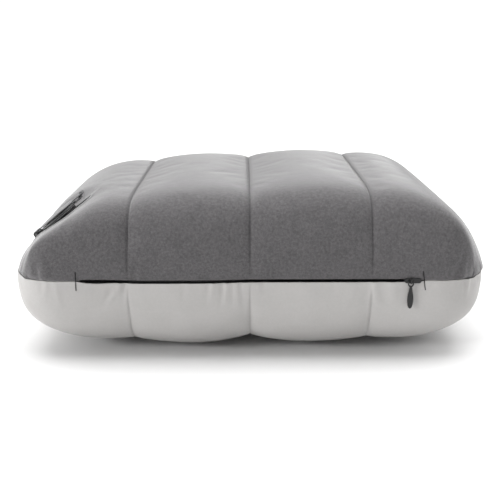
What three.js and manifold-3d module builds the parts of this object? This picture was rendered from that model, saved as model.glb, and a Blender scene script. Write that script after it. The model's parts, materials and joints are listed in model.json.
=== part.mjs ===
// Inflatable camp pillow. A zipped two-tone fabric cover holds an air bladder with four
// front-to-back tubes, and a flat valve with two hinged lids sits in a port on the left shoulder.
// Millimetres, +Z up, front towards -Y, origin on the floor under the middle of the cover.
import * as THREE from "three";
import { mergeVertices } from "three/addons/utils/BufferGeometryUtils.js";
import Module from "manifold-3d";

const wasm = await Module();
wasm.setup();

// ---- Driving dimensions -------------------------------------------------------------------

// Inflated pillow. Its outline is a rounded rectangle, parted by a seam at SEAM_HEIGHT.
const WIDTH = 430;
const DEPTH = 300;
const HEIGHT = 152;
const SEAM_HEIGHT = 75;
const CORNER_RADIUS = 48;
const CORNER_DIP = 2; // the seam drops this much at the four corners
const RIGHT_LIFT = 0.104; // the right side stands this fraction higher than the middle
const TUBES = 4;
const GROOVE = 4; // depth of the channels between the tubes
const FLATTENING = 1.2; // depth that the floor presses into the underside of each tube

// Section curves |u|^power + v^round = 1, across the pillow and along it.
const TOP_ACROSS = { power: 5.3, round: 1.37 };
const TOP_ALONG = { power: 7, round: 4 };
const TOP_BLEND = 4.4; // sharpness of the hip where the two sections meet
const BOTTOM_SECTION = { power: 4.2, round: 3.1 };
const BOTTOM_BLEND = 1;

// Sheets
const TOP_FABRIC = 1.2;
const BOTTOM_FABRIC = 1;
const BLADDER_INSET = 4; // bladder skin, measured in from the cover's outside
const BLADDER_SHEET = 0.8;
const BAFFLE_SHEET = 0.8;
const BAFFLE_REACH = 0.76; // part of the tube's length that a baffle spans
const BAFFLE_WELD = 2; // height of the weld bead between a baffle and the skin
const GAP = 0.3; // clearance between pieces that touch
const BITE = 0.3; // overlap of two shapes that are joined into one solid

// Zip in the front seam
const ZIP_HALF = 150;
const ZIP_TAPER = 8; // length over which the slit closes past each end
const SLIT_HALF = 1.6;
const COIL = { inner: 0.5, outer: 1.35, front: 0.4, back: 2.1, inset: 1 };
const TAPE = { front: 1.7, width: 8, thickness: 0.4 };
const SLIDER = { length: 15, height: 4.6, plate: 1, back: 0.7, round: 2, centre: 143 };
const WEB = { from: 4, to: 6.5, thickness: 0.4 }; // of the slider, between the two coils
const BRIDGE = { width: 1.6, height: 4.2, strap: 0.8, reach: 2.7, offset: -2 };
const PULL = { length: 26, width: 5.4, thickness: 1.1, wire: 1.2, window: 3.4, neck: 2.4 };
const STOP = { length: 2, height: 2.4, slack: 0.7 }; // slack: room between slider and right stop
const BARTACK = { x: 153, width: 1.4, length: 17, thickness: 0.5 };

// Valve, in its own frame: u up the slope, w towards the back, n out of the cover.
const VALVE_S = -0.865; // place on the top panel, as fractions of half width and half depth
const VALVE_T = -0.47;
const VALVE_SINK = 3; // the lids' hinge plane lies this far below the cover's surface
const PORT = { u: 37, w: 25, binding: 1.1, lift: 0.5, turns: 40, sides: 6 };
const CUP = { rim: 29, weld: 2.5, wall: 24, rimTop: -8.6, floor: -10.2, thickness: 0.8 };
const COLLAR = { outer: 17.5, inner: 13, top: -4.5 };
const LID = { radius: 20.5, bottom: -3.2, top: -1.5, hole: 8, tab: 29, root: 1 };
const LID_PLUG = { radius: 12.4, bottom: -7 };
const SPIDER = { ledge: 6.5, bottom: -4.9, top: -3.7, bar: 1.6, hub: 2.6, bore: 1.3 };
const DIAPHRAGM = { radius: 7.6, thickness: 0.6, stem: 1, head: 1.9, headHeight: 0.4, travel: 0.8 };
const CAP = { radius: 21.5, bottom: -0.6, edge: 0.6, shoulder: 1.4, crown: 2.1, tab: 33, root: 1.5 };
const CAP_PLUG = { outer: 7.6, inner: 6.2, bottom: -2.1 };
const CHAMFER = 0.5;
const HINGE = { u: -27.5, n: -1.9, pin: 1.2, bore: 1.5, knuckle: 2.8, length: 16 };
const KNUCKLES = { lid: 2.2, cap: [2.7, 5], lug: [5.5, 7.7] }; // places along the pin, from its middle
const SEAL = { innerFrom: 13.6, outerFrom: 9.5, outerTo: 13 }; // radii
const TAB = { width: 11, bead: 1.5, inset: 0.4, round: 3, root: 4, step: 0.6, overlap: 2 };
const ROUND = 28; // sides of a turned part
const NEAREST_STATION = 0.06; // closest spacing of mesh stations, as a part of the way to the rim

// Colours
const DARK_GREY = { color: 0x6f6d6e, roughness: 0.95 };
const LIGHT_GREY = { color: 0xc4c2c0, roughness: 0.8 };
const BLACK_TAPE = { color: 0x17171a, roughness: 0.8 };
const BLACK_METAL = { color: 0x202022, roughness: 0.35, metalness: 0.5 };
const COATED_GREY = { color: 0x8c8d8f, roughness: 0.55 };
const VALVE_GREY = { color: 0xa4a5a2, roughness: 0.5 };
const SOFT_SEAL = { color: 0xd8d8d4, roughness: 0.6 };

// ---- Shape of the inflated pillow -----------------------------------------------------------
// A place on either half is (s, t): -1 to 1 across the width and along the depth.
// "depth" is how far a skin lies in from the cover's outside.

const { sin, cos, abs, sign, min, max, PI } = Math;

function smooth(low, high, value) {
  const f = min(1, max(0, (value - low) / (high - low)));
  return f * f * (3 - 2 * f);
}

// One side of the rounded rectangle: how far along it runs, and how far it has turned inwards.
function sideOfOutline(u, half, radius) {
  const start = (half - radius) / half;
  const turn = (PI / 4) * max(0, (abs(u) - start) / (1 - start));
  const along = turn > 0 ? half - radius + radius * sin(turn) : half * abs(u);
  return { along: sign(u) * along, inset: radius * (1 - cos(turn)) };
}

function planPoint(s, t, depth) {
  const a = WIDTH / 2 - depth;
  const b = DEPTH / 2 - depth;
  const radius = CORNER_RADIUS - depth;
  const mitre = radius * (1 - cos(PI / 4));
  const frontSide = sideOfOutline(s, a, radius);
  const rightSide = sideOfOutline(t, b, radius);
  return {
    x: a * s + (frontSide.along - a * s) * (rightSide.inset / mitre),
    y: b * t + (rightSide.along - b * t) * (frontSide.inset / mitre),
  };
}

const sectionHeight = (u, { power, round }) => max(0, 1 - abs(u) ** power) ** (1 / round);

// Smooth minimum of two section heights, which rounds the hip between side and front.
function fullness(s, t, across, along, blend) {
  const a = max(1e-6, sectionHeight(s, across));
  const b = max(1e-6, sectionHeight(t, along));
  const value = (a ** -blend + b ** -blend - 1) ** (-1 / blend);
  return value < 1e-5 ? 0 : value;
}

// 1 on the channels between tubes, 0 along the middle of a tube and outside the last channels.
function channel(s) {
  const outermost = 1 - 2 / TUBES;
  const place = ((s + 1) * TUBES) / 2;
  const nearness = 1 - 2 * abs(place - Math.round(place));
  return abs(s) > outermost + 1 / TUBES ? 0 : nearness ** 2;
}

// Half height of the seam's slit: wide along the zip, closed elsewhere.
function slitHalf(x, t, full) {
  const alongZip = t < 0 ? 1 - smooth(ZIP_HALF + 4, ZIP_HALF + 4 + ZIP_TAPER, abs(x)) : 0;
  return GAP / 2 + (SLIT_HALF - GAP / 2) * alongZip * (1 - full) ** 4;
}

// Point on the upper (side = 1) or lower (side = -1) skin.
function skinPoint(side, s, t, depth) {
  const full = side > 0
    ? fullness(s, t, TOP_ACROSS, TOP_ALONG, TOP_BLEND)
    : fullness(s, t, BOTTOM_SECTION, BOTTOM_SECTION, BOTTOM_BLEND);
  const { x, y } = planPoint(s, t, depth);
  const groove = GROOVE * channel(s);
  const seam = SEAM_HEIGHT - CORNER_DIP * abs(s * t) ** 12;
  const pulledIn = groove * smooth(0.25, 0.6, full) * abs(t) ** 6;
  const inwards = y - sign(t) * pulledIn;
  const edge = slitHalf(x, t, full) * (1 - full);
  if (side > 0) {
    const rise = (HEIGHT - SEAM_HEIGHT - depth) * (1 + RIGHT_LIFT * s);
    return new THREE.Vector3(x, inwards, seam + edge + full * (rise - groove));
  }
  const sunk = (seam + FLATTENING) * (1 - full) + full * groove - FLATTENING - edge;
  return new THREE.Vector3(x, inwards, max(0, sunk) + depth * full);
}

// ---- Mesh helpers ---------------------------------------------------------------------------

// Section curve as a three.js curve, so that stations can be spaced evenly along its length.
class SectionCurve extends THREE.Curve {
  constructor(section, half, rise) {
    super();
    Object.assign(this, { section, half, rise });
  }

  getPoint(f) {
    const angle = (f * PI) / 2;
    const u = sin(angle) ** (2 / this.section.power);
    const v = max(0, cos(angle)) ** (2 / this.section.round);
    return new THREE.Vector3(u * this.half, v * this.rise, 0);
  }
}

// Values of s or t from -1 to 1 in even steps over the surface, with one exactly at each "kept".
function stations(section, half, rise, steps, kept = []) {
  const spaced = new SectionCurve(section, half, rise).getSpacedPoints(steps);
  const fixed = [0, ...kept, 1];
  const free = spaced
    .map((point) => point.x / half)
    .filter((value) => fixed.every((place) => abs(value - place) > NEAREST_STATION * (1 - value)));
  const values = [...fixed, ...free].sort((a, b) => a - b);
  return [...values.slice(1).reverse().map((value) => -value), ...values];
}

// Closed sheet between two skins: outer face, inner face and the strip round the rim.
function sheet(outer, inner, across, along, flip) {
  const columns = across.length;
  const rows = along.length;
  const positions = [];
  for (const skin of [outer, inner]) {
    for (const t of along) {
      for (const s of across) positions.push(...skin(s, t).toArray());
    }
  }
  const index = [];
  const at = (layer, i, j) => layer * rows * columns + j * columns + i;
  const quad = (a, b, c, d) => (flip ? index.push(a, c, b, a, d, c) : index.push(a, b, c, a, c, d));
  for (let j = 0; j < rows - 1; j++) {
    for (let i = 0; i < columns - 1; i++) {
      quad(at(0, i, j), at(0, i + 1, j), at(0, i + 1, j + 1), at(0, i, j + 1));
      quad(at(1, i, j), at(1, i, j + 1), at(1, i + 1, j + 1), at(1, i + 1, j));
    }
  }
  for (let i = 0; i < columns - 1; i++) {
    quad(at(1, i, 0), at(1, i + 1, 0), at(0, i + 1, 0), at(0, i, 0));
    quad(at(0, i, rows - 1), at(0, i + 1, rows - 1), at(1, i + 1, rows - 1), at(1, i, rows - 1));
  }
  const last = columns - 1;
  for (let j = 0; j < rows - 1; j++) {
    quad(at(0, 0, j), at(0, 0, j + 1), at(1, 0, j + 1), at(1, 0, j));
    quad(at(1, last, j), at(1, last, j + 1), at(0, last, j + 1), at(0, last, j));
  }
  const geometry = new THREE.BufferGeometry();
  geometry.setAttribute("position", new THREE.Float32BufferAttribute(positions, 3));
  geometry.setIndex(index);
  return geometry;
}

// Shared vertices and no empty triangles, as a boolean or a STEP solid needs.
function welded(geometry) {
  const bare = geometry.clone();
  for (const name of ["normal", "uv"]) bare.deleteAttribute(name);
  const merged = mergeVertices(bare, 1e-4);
  const kept = [];
  const corners = merged.index.array;
  for (let k = 0; k < corners.length; k += 3) {
    const [a, b, c] = corners.slice(k, k + 3);
    if (a !== b && b !== c && c !== a) kept.push(a, b, c);
  }
  merged.setIndex(kept);
  return merged;
}

function toSolid(geometry) {
  const { attributes, index } = welded(geometry);
  const vertProperties = new Float32Array(attributes.position.array);
  return new wasm.Manifold(
    new wasm.Mesh({ numProp: 3, vertProperties, triVerts: new Uint32Array(index.array) }),
  );
}

function toGeometry(solid) {
  const { vertProperties, triVerts } = solid.getMesh();
  const geometry = new THREE.BufferGeometry();
  geometry.setAttribute("position", new THREE.BufferAttribute(vertProperties, 3));
  geometry.setIndex(new THREE.BufferAttribute(triVerts, 1));
  return geometry;
}

const join = (...parts) => toGeometry(parts.map(toSolid).reduce((whole, part) => whole.add(part)));
const cut = (part, ...tools) =>
  toGeometry(tools.map(toSolid).reduce((whole, tool) => whole.subtract(tool), toSolid(part)));

// Box from its low and high corners.
function block(low, high) {
  const size = high.map((value, k) => value - low[k]);
  const middle = high.map((value, k) => (value + low[k]) / 2);
  return new THREE.BoxGeometry(...size).translate(...middle);
}

// Turned part about +Z from [radius, height] pairs.
function turned(profile, sides = ROUND) {
  const points = profile.map(([radius, height]) => new THREE.Vector2(radius, height));
  return new THREE.LatheGeometry(points, sides).rotateX(PI / 2);
}

// Turned ring of rectangular section about +Z.
const ring = (inner, outer, bottom, top) =>
  turned([[inner, bottom], [outer, bottom], [outer, top], [inner, top], [inner, bottom]]);

// Flat outline pulled up along +Z from "bottom" to "top".
function plate(shape, bottom, top, curveSegments = 10) {
  const settings = { depth: top - bottom, bevelEnabled: false, curveSegments };
  return new THREE.ExtrudeGeometry(shape, settings).translate(0, 0, bottom);
}

function roundedRectangle(length, height, radius) {
  const x = length / 2;
  const y = height / 2;
  const shape = new THREE.Shape();
  shape.absarc(x - radius, y - radius, radius, 0, PI / 2);
  shape.absarc(radius - x, y - radius, radius, PI / 2, PI);
  shape.absarc(radius - x, radius - y, radius, PI, 1.5 * PI);
  shape.absarc(x - radius, radius - y, radius, 1.5 * PI, 2 * PI);
  shape.closePath();
  return shape;
}

function ellipse(a, b) {
  const shape = new THREE.Shape();
  shape.absellipse(0, 0, a, b, 0, 2 * PI);
  return shape;
}

// Rod along w, centred on the hinge line of the valve.
const hingeRod = (radius, fromW, toW, sides = 20) =>
  new THREE.CylinderGeometry(radius, radius, toW - fromW, sides)
    .translate(HINGE.u, (fromW + toW) / 2, HINGE.n);

const pinBore = () => hingeRod(HINGE.bore, -HINGE.length, HINGE.length);

function named(name, geometry, look) {
  const material = new THREE.MeshStandardMaterial({ metalness: 0, ...look });
  const mesh = new THREE.Mesh(welded(geometry), material);
  mesh.name = name;
  return mesh;
}

// ---- Cover ------------------------------------------------------------------------------------

const CHANNEL_AT = 1 - 2 / TUBES; // s of the outer channels
const SLIT_OPEN = ZIP_HALF + 4; // x to which the slit stays fully open
const KEPT = [CHANNEL_AT, SLIT_OPEN / (WIDTH / 2), (SLIT_OPEN + ZIP_TAPER) / (WIDTH / 2)];
const FLAT_HALF = (0.7 * (FLATTENING / GROOVE) ** 0.5) / TUBES; // half width of a tube's flat underside
const INNER_TUBE = 1 / TUBES; // s of the middle of an inner tube
const KEPT_BELOW = [INNER_TUBE - FLAT_HALF, INNER_TUBE + FLAT_HALF, ...KEPT];
const SIDE_RISE = HEIGHT - SEAM_HEIGHT;

function halfShell(side, outsideDepth, thickness, acrossSteps, alongSteps) {
  const across = side > 0
    ? stations(TOP_ACROSS, WIDTH / 2, SIDE_RISE, acrossSteps, KEPT)
    : stations(BOTTOM_SECTION, WIDTH / 2, SEAM_HEIGHT, acrossSteps, KEPT_BELOW);
  const along = side > 0
    ? stations(TOP_ALONG, DEPTH / 2, SIDE_RISE, alongSteps)
    : stations(BOTTOM_SECTION, DEPTH / 2, SEAM_HEIGHT, alongSteps);
  return sheet(
    (s, t) => skinPoint(side, s, t, outsideDepth),
    (s, t) => skinPoint(side, s, t, outsideDepth + thickness),
    across, along, side < 0,
  );
}

// Frame of the valve on the top panel: u up the slope, w towards the back, n outwards.
function valveFrame() {
  const step = 0.01;
  const origin = skinPoint(1, VALVE_S, VALVE_T, VALVE_SINK);
  const alongS = skinPoint(1, VALVE_S + step, VALVE_T, 0).sub(skinPoint(1, VALVE_S - step, VALVE_T, 0));
  const alongT = skinPoint(1, VALVE_S, VALVE_T + step, 0).sub(skinPoint(1, VALVE_S, VALVE_T - step, 0));
  const n = alongS.clone().cross(alongT).normalize();
  const w = alongT.normalize();
  const u = w.clone().cross(n).normalize();
  w.crossVectors(n, u);
  return new THREE.Matrix4().makeBasis(u, w, n).setPosition(origin);
}

const VALVE_PLACE = valveFrame();
const PORT_REACH = 18; // half height of the cutter through the skins

const portCutter = (a, b) =>
  plate(ellipse(a, b), -PORT_REACH, PORT_REACH, 32).applyMatrix4(VALVE_PLACE);

// Point of the port's edge at an angle, on the outside of the top panel, in the valve's frame.
function portEdge(angle) {
  const toValve = VALVE_PLACE.clone().invert();
  const wantU = (PORT.u + PORT.binding + GAP) * cos(angle);
  const wantW = (PORT.w + PORT.binding + GAP) * sin(angle);
  let s = VALVE_S;
  let t = VALVE_T;
  let point;
  for (let pass = 0; pass < 12; pass++) {
    point = skinPoint(1, s, t, 0).applyMatrix4(toValve);
    s = max(-0.999, s + (0.9 * (wantU - point.x)) / (WIDTH / 2));
    t += (0.9 * (wantW - point.y)) / (DEPTH / 2);
  }
  return point;
}

// Half-round lip sewn round the port, lying on the top panel.
function portBinding() {
  const { turns, sides, lift } = PORT;
  const positions = [];
  const index = [];
  for (let k = 0; k < turns; k++) {
    const angle = (2 * PI * k) / turns;
    const centre = portEdge(angle);
    const outwards = new THREE.Vector3(cos(angle) / PORT.u, sin(angle) / PORT.w, 0).normalize();
    for (let m = 0; m < sides; m++) {
      const bead = (PI * m) / (sides - 1);
      const across = PORT.binding * cos(bead);
      const up = PORT.binding * sin(bead);
      const point = centre.clone().addScaledVector(outwards, across);
      point.z += GAP + lift + up;
      positions.push(...point.toArray());
      const next = ((k + 1) % turns) * sides;
      const a = k * sides + m;
      const b = k * sides + ((m + 1) % sides);
      index.push(a, next + m, next + ((m + 1) % sides), a, next + ((m + 1) % sides), b);
    }
  }
  const geometry = new THREE.BufferGeometry();
  geometry.setAttribute("position", new THREE.Float32BufferAttribute(positions, 3));
  geometry.setIndex(index);
  return geometry;
}

function coverPieces() {
  const top = cut(halfShell(1, 0, TOP_FABRIC, 12, 9), portCutter(PORT.u, PORT.w));
  const bottom = halfShell(-1, 0, BOTTOM_FABRIC, 10, 8);
  return [
    named("cover_top_panel", top, DARK_GREY),
    named("cover_bottom_panel", bottom, LIGHT_GREY),
  ];
}

// ---- Bladder ------------------------------------------------------------------------------------

// Upright sheet under one channel, open at both ends so that air passes between the tubes.
function baffle(s) {
  const steps = 12;
  const inside = BLADDER_INSET + BLADDER_SHEET;
  const outline = [];
  for (const side of [1, -1]) {
    for (let k = 0; k <= steps; k++) {
      const t = side * BAFFLE_REACH * (1 - (2 * k) / steps);
      const point = skinPoint(side, s, t, inside);
      outline.push(new THREE.Vector2(point.y, point.z - side * BAFFLE_WELD));
    }
  }
  const x = skinPoint(1, s, 0, inside).x;
  return plate(new THREE.Shape(outline), -BAFFLE_SHEET / 2, BAFFLE_SHEET / 2)
    .rotateX(PI / 2)
    .rotateZ(PI / 2)
    .translate(x, 0, 0);
}

function bladderPieces() {
  const weld = CUP.rim + CUP.weld;
  const top = cut(halfShell(1, BLADDER_INSET, BLADDER_SHEET, 8, 7), portCutter(weld, weld));
  const bottom = halfShell(-1, BLADDER_INSET, BLADDER_SHEET, 7, 6);
  const places = { left: -CHANNEL_AT, centre: 0, right: CHANNEL_AT };
  return [
    named("bladder_top_sheet", top, COATED_GREY),
    named("bladder_bottom_sheet", bottom, COATED_GREY),
    ...Object.entries(places).map(([name, s]) => named(`baffle_${name}`, baffle(s), COATED_GREY)),
  ];
}

// ---- Zip ------------------------------------------------------------------------------------------
// Built with y = 0 on the cover's front, +Y into the pillow, and z = 0 on the seam.

function tape(side) {
  const near = COIL.outer + GAP;
  const heights = [side * near, side * (near + TAPE.width)].sort((a, b) => a - b);
  const back = TAPE.front + TAPE.thickness;
  return block([-ZIP_HALF, TAPE.front, heights[0]], [ZIP_HALF, back, heights[1]]);
}

function coil(side) {
  const heights = [side * COIL.inner, side * COIL.outer].sort((a, b) => a - b);
  return block([COIL.inset - ZIP_HALF, COIL.front, heights[0]],
    [ZIP_HALF - GAP, COIL.back, heights[1]]);
}

// Two plates joined by a thin web between the coils, with a bridge that holds the pull.
function sliderBody() {
  const outline = roundedRectangle(SLIDER.length, SLIDER.height, SLIDER.round);
  const frontFace = -GAP - SLIDER.plate;
  const backFace = COIL.back + GAP + SLIDER.back;
  const upright = (geometry) => geometry.rotateX(PI / 2);
  const front = upright(plate(outline, GAP, GAP + SLIDER.plate, 6));
  const back = upright(plate(outline, -backFace, -COIL.back - GAP, 6));
  const web = block([WEB.from, -GAP - BITE, -WEB.thickness / 2],
    [WEB.to, COIL.back + GAP + BITE, WEB.thickness / 2]);
  const half = BRIDGE.height / 2;
  const loop = cut(
    block([BRIDGE.offset - BRIDGE.width / 2, frontFace - BRIDGE.reach, -half],
      [BRIDGE.offset + BRIDGE.width / 2, frontFace + BITE, half]),
    block([BRIDGE.offset - BRIDGE.width, frontFace - BRIDGE.reach + BRIDGE.strap, BRIDGE.strap - half],
      [BRIDGE.offset + BRIDGE.width, frontFace, half - BRIDGE.strap]),
  );
  return join(front, back, web, loop);
}

// Hanging pull: an eye round the bridge's strap, a neck and a long drop-shaped grip.
function pullTab() {
  const half = PULL.width / 2;
  const neck = PULL.neck / 2;
  const top = PULL.wire / 2;
  const round = PULL.wire;
  const eyeBottom = top - PULL.wire * 2 - PULL.window;
  const tip = top - PULL.length;
  const belly = (eyeBottom + tip) / 2 - 1;
  const swell = 4; // length over which the neck widens into the grip
  const taper = 5; // and over which the grip rounds off to its tip
  const right = [
    [[half - round, top]],
    [[half, top], [half, top - round]],
    [[half, eyeBottom + 2 * round]],
    [[half, eyeBottom + round / 2], [neck, eyeBottom]],
    [[neck, eyeBottom - swell], [half, belly + swell], [half, belly]],
    [[half, belly - taper], [neck, tip], [0, tip]],
  ];
  const outline = new THREE.Shape();
  outline.moveTo(0, top);
  for (const points of right) curveThrough(outline, points);
  const ends = [[0, top], ...right.map((points) => points.at(-1))];
  right.reverse().forEach((points, k) => {
    const controls = points.slice(0, -1).reverse();
    const back = [...controls, ends[right.length - 1 - k]];
    curveThrough(outline, back.map(([x, y]) => [-x, y]));
  });
  const window = roundedRectangle(PULL.width - 2 * PULL.wire, PULL.window, round);
  const eye = plate(window, -PULL.thickness, PULL.thickness, 5);
  eye.translate(0, -PULL.wire / 2 - PULL.window / 2, 0);
  const blank = plate(outline, -PULL.thickness / 2, PULL.thickness / 2, 8);
  return cut(blank, eye).rotateX(PI / 2);
}

// Straight line, quadratic or cubic curve, by the number of points.
function curveThrough(shape, points) {
  const numbers = points.flat();
  if (points.length === 1) shape.lineTo(...numbers);
  else if (points.length === 2) shape.quadraticCurveTo(...numbers);
  else shape.bezierCurveTo(...numbers);
}

function zip() {
  const group = new THREE.Group();
  group.position.set(0, -DEPTH / 2, SEAM_HEIGHT);
  group.add(
    named("zip_tape_upper", tape(1), BLACK_TAPE),
    named("zip_tape_lower", tape(-1), BLACK_TAPE),
    named("zip_coil_upper", coil(1), BLACK_METAL),
    named("zip_coil_lower", coil(-1), BLACK_METAL),
  );
  for (const [name, way] of [["left", -1], ["right", 1]]) {
    const stop = block([-STOP.length / 2, COIL.front, -STOP.height / 2],
      [STOP.length / 2, COIL.back, STOP.height / 2]);
    const stopMesh = named(`zip_stop_${name}`, stop, BLACK_METAL);
    stopMesh.position.x = way * (ZIP_HALF + STOP.length / 2 + GAP) + (way > 0 ? STOP.slack : 0);
    const tack = block([-BARTACK.width / 2, -GAP - BARTACK.thickness, -BARTACK.length / 2],
      [BARTACK.width / 2, -GAP, BARTACK.length / 2]);
    const tackMesh = named(`bartack_${name}`, tack, BLACK_TAPE);
    tackMesh.position.x = way * BARTACK.x;
    group.add(stopMesh, tackMesh);
  }
  const slider = new THREE.Group();
  slider.position.x = SLIDER.centre;
  const pull = named("zip_pull_tab", pullTab(), BLACK_METAL);
  const clearHalf = (BRIDGE.reach - BRIDGE.strap) / 2;
  pull.position.set(BRIDGE.offset, -GAP - SLIDER.plate - clearHalf, 0);
  slider.add(named("zip_slider_body", sliderBody(), BLACK_METAL), pull);
  group.add(slider);
  return group;
}

// ---- Valve -------------------------------------------------------------------------------------------

// Recessed cup whose rim is welded to the bladder, with the collar that both lids close on.
function valveBase() {
  const { rim, wall, rimTop, floor, thickness } = CUP;
  const floorTop = floor + thickness;
  const cup = turned([
    [COLLAR.inner, floor], [wall, floor], [wall + thickness, rimTop - thickness],
    [rim, rimTop - thickness], [rim, rimTop], [wall, rimTop], [wall - thickness, floorTop],
    [COLLAR.outer, floorTop], [COLLAR.outer, COLLAR.top], [COLLAR.inner, COLLAR.top],
    [COLLAR.inner, floor],
  ]);
  const lugs = bothWays(KNUCKLES.lug, (low, high) => join(
    block([HINGE.u - HINGE.knuckle, low, rimTop - BITE], [HINGE.u + HINGE.knuckle, high, HINGE.n]),
    hingeRod(HINGE.knuckle, low, high),
  ));
  return cut(join(cup, ...lugs), pinBore());
}

// Pull tab with a bead across its end, from a lid's edge outwards along u.
function gripTab(from, to, bottom, top) {
  const shape = roundedRectangle(to - from + TAB.root, TAB.width, TAB.round);
  const strip = plate(shape, bottom, top, 4).translate((from + to - TAB.root) / 2, 0, 0);
  const bead = new THREE.CylinderGeometry(TAB.bead, TAB.bead, TAB.width - TAB.round, 12);
  bead.translate(to - TAB.bead - TAB.inset, 0, top);
  return join(strip, bead);
}

// The same piece on both sides of the middle of the pin.
const bothWays = ([near, far], make) => [make(-far, -near), make(near, far)];

const knuckle = (fromW, toW, armTo, bottom, top) => join(
  hingeRod(HINGE.knuckle, fromW, toW),
  block([HINGE.u, fromW, bottom], [armTo, toW, top]),
);

// Lid that is opened to let the air out. Its middle is the one-way inflation hole.
function innerLid() {
  const body = turned([
    [LID.hole, LID_PLUG.bottom], [LID_PLUG.radius, LID_PLUG.bottom], [LID_PLUG.radius, LID.bottom],
    [LID.radius, LID.bottom], [LID.radius, LID.top], [LID.hole, LID.top],
    [LID.hole, SPIDER.top], [SPIDER.ledge, SPIDER.top], [SPIDER.ledge, SPIDER.bottom],
    [LID.hole, SPIDER.bottom], [LID.hole, LID_PLUG.bottom],
  ]);
  const { ledge, bottom, top, bar, hub, bore } = SPIDER;
  const reach = ledge + BITE;
  const bars = [0, 1, 2].map((k) =>
    block([-reach, -bar / 2, bottom], [reach, bar / 2, top]).rotateZ((k * PI) / 3));
  const disc = turned([[0, bottom], [hub, bottom], [hub, top], [0, top]], 16);
  const arm = knuckle(-KNUCKLES.lid, KNUCKLES.lid, LID.root - LID.radius, LID.bottom, LID.top);
  const tab = gripTab(LID.radius - TAB.overlap, LID.tab, LID.bottom, LID.top - TAB.step);
  const stemBore = turned([
    [0, LID_PLUG.bottom], [bore, LID_PLUG.bottom], [bore, LID.top], [0, LID.top],
  ], 16);
  return cut(join(body, ...bars, disc, arm, tab), stemBore, pinBore());
}

// Soft one-way disc hanging under the spider on a stem with a retaining head.
function diaphragm() {
  const discTop = SPIDER.bottom - GAP;
  const headBottom = SPIDER.top + DIAPHRAGM.travel + GAP;
  const { radius, thickness, stem, head, headHeight } = DIAPHRAGM;
  const headTop = headBottom + headHeight;
  return turned([
    [0, discTop - thickness], [radius, discTop - thickness], [radius, discTop], [stem, discTop],
    [stem, headBottom], [head, headBottom], [head, headTop], [0, headTop],
  ]);
}

// Domed cap that closes the inflation hole.
function outerCap() {
  const { radius, bottom, edge, shoulder, crown } = CAP;
  const { outer, inner, bottom: plugBottom } = CAP_PLUG;
  const body = turned([
    [0, bottom], [inner, bottom], [inner, plugBottom], [outer, plugBottom], [outer, bottom],
    [radius - CHAMFER, bottom], [radius, bottom + CHAMFER], [radius - CHAMFER, edge],
    [radius * 0.75, shoulder], [radius * 0.4, crown - 0.2], [0, crown],
  ]);
  const arms = bothWays(KNUCKLES.cap, (low, high) =>
    knuckle(low, high, CAP.root - CAP.radius, CAP.bottom, CAP.edge));
  const tab = gripTab(radius - TAB.overlap, CAP.tab, bottom, edge);
  return cut(join(body, ...arms, tab), pinBore());
}

function valve() {
  const group = new THREE.Group();
  group.applyMatrix4(VALVE_PLACE);
  const innerSeal = ring(SEAL.innerFrom, COLLAR.outer, COLLAR.top + GAP, LID.bottom - GAP);
  const outerSeal = ring(SEAL.outerFrom, SEAL.outerTo, LID.top + GAP, CAP.bottom - GAP);
  const pin = hingeRod(HINGE.pin, -HINGE.length / 2, HINGE.length / 2);
  group.add(
    named("valve_port_binding", portBinding(), COATED_GREY),
    named("valve_base_cup", valveBase(), VALVE_GREY),
    named("valve_hinge_pin", pin, VALVE_GREY),
    named("valve_inner_lid", innerLid(), VALVE_GREY),
    named("valve_inner_seal", innerSeal, SOFT_SEAL),
    named("valve_diaphragm", diaphragm(), SOFT_SEAL),
    named("valve_outer_cap", outerCap(), VALVE_GREY),
    named("valve_outer_seal", outerSeal, SOFT_SEAL),
  );
  return group;
}

const pillow = new THREE.Group();
pillow.add(...coverPieces(), ...bladderPieces(), zip(), valve());

export default pillow;
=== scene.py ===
"""Looks of the inflatable camp pillow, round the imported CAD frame. Metres, +Z up, front towards -Y."""
import json
import math

import bmesh
import bpy
import numpy as np
from mathutils import Matrix, Vector


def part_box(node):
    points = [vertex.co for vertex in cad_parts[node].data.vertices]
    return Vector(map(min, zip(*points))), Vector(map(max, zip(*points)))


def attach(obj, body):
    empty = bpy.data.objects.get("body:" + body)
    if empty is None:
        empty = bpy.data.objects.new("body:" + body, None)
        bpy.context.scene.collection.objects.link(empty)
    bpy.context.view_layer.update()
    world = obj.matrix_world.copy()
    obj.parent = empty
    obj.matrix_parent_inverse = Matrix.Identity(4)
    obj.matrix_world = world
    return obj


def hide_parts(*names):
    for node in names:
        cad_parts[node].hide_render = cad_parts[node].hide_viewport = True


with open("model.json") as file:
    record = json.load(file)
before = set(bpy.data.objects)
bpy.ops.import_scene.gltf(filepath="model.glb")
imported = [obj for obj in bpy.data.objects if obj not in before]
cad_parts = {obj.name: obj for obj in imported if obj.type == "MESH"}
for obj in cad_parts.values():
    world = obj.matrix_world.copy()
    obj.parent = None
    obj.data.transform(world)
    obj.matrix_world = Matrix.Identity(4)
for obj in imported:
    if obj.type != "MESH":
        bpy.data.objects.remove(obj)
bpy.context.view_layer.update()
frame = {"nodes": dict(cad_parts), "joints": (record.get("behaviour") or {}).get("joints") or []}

MM = 0.001
TURN = 2 * math.pi
scene = bpy.context.scene
joints = {joint["name"]: joint for joint in frame["joints"]}

# ---- Shape of the pillow, as in the CAD source ----

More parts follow.
